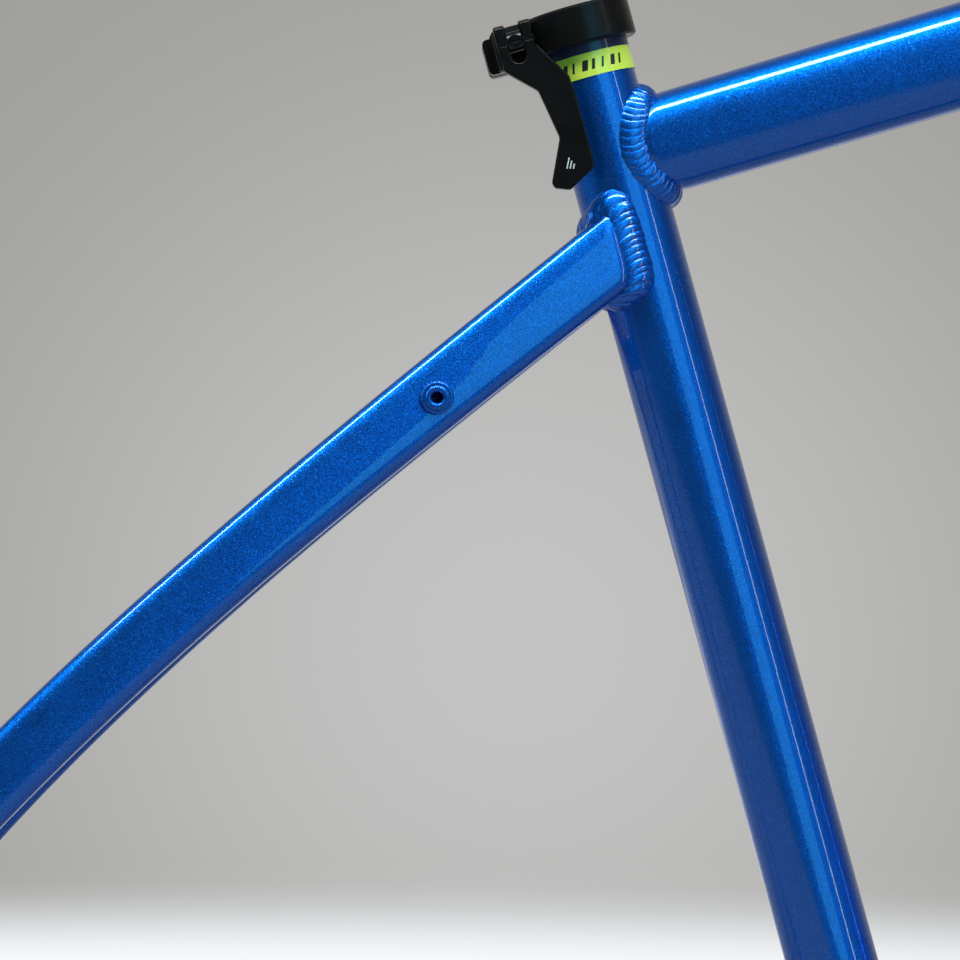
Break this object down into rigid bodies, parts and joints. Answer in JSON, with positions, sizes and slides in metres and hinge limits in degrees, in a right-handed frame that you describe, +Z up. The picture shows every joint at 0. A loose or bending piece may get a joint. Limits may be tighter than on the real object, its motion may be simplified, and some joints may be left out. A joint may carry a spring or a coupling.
{
  "type": "bicycle frame",
  "caption": "Hardtail mountain bicycle frame of welded metal tubes with a quick-release seat clamp, rack bosses and disc brake tab.",
  "frame": {"origin": "middle of the bottom bracket shell, on its axis", "axes": "+X forward, +Y to the left of the bicycle along the bottom bracket axis, +Z up"},
  "size_m": [0.981, 0.1597, 0.6498],
  "materials": {
    "frame_paint": "gloss",
    "clamp_black": "satin",
    "cam_plate_polymer": "matte",
    "band_print": "gloss",
    "hanger_black": "satin",
    "zinc_steel": "satin",
    "black_steel": "satin",
    "rivet_alloy": "satin"
  },
  "bodies": {
    "frame": {"head_tube": "frame_paint", "top_tube": "frame_paint", "down_tube": "frame_paint", "seat_tube": "frame_paint", "bb_shell": "frame_paint", "chainstay_right": "frame_paint", "chainstay_left": "frame_paint", "seatstay_right": "frame_paint", "seatstay_left": "frame_paint", "dropout_right": "frame_paint", "dropout_left": "frame_paint", "derailleur_hanger": "hanger_black", "hanger_bolts": "zinc_steel", "disc_brake_tab": "frame_paint", "chainstay_bridge": "frame_paint", "seatstay_bridge": "frame_paint", "rack_boss_right": "frame_paint", "rack_boss_left": "frame_paint", "bottle_bosses": "rivet_alloy", "cable_guides": "frame_paint", "chainstay_cable_stops": "frame_paint", "seat_tube_band": "band_print", "weld_top_tube_rear": "frame_paint", "weld_top_tube_front": "frame_paint", "weld_down_tube_front": "frame_paint", "weld_down_tube_rear": "frame_paint", "weld_seat_tube_foot": "frame_paint", "weld_seatstay_right": "frame_paint", "weld_seatstay_left": "frame_paint", "weld_chainstay_right": "frame_paint", "weld_chainstay_left": "frame_paint", "stay_end_caps_right": "frame_paint", "stay_end_caps_left": "frame_paint", "clamp_collar": "clamp_black", "clamp_shoe": "clamp_black", "cam_plate": "cam_plate_polymer"},
    "clamp_skewer": {"clamp_rod": "black_steel", "pivot_barrel": "black_steel"},
    "lever": {"qr_lever": "clamp_black"},
    "nut_seat": {"nut_washer": "clamp_black"},
    "nut": {"adjusting_nut": "clamp_black"}
  },
  "joints": [
    {"name": "skewer_spin", "type": "hinge", "parent": "frame", "child": "clamp_skewer", "pos_m": [-0.15461, 0, 0.46965], "axis": [0, 1, 0], "continuous": true},
    {"name": "lever_cam", "type": "hinge", "parent": "clamp_skewer", "child": "lever", "pos_m": [-0.15461, -0.026, 0.46965], "axis": [-0.9646, 0, -0.2639], "range_deg": [0, 175]},
    {"name": "nut_turn", "type": "hinge", "parent": "frame", "child": "nut_seat", "pos_m": [-0.15461, 0, 0.46965], "axis": [0, 1, 0], "range_deg": [0, 1080]},
    {"name": "nut_travel", "type": "slide", "parent": "nut_seat", "child": "nut", "axis": [0, 1, 0], "range_m": [0, 0.0024]}
  ],
  "couplings": [
    {"joint": "nut_travel", "follows": "nut_turn", "m_per_rad": 0.00012732}
  ]
}
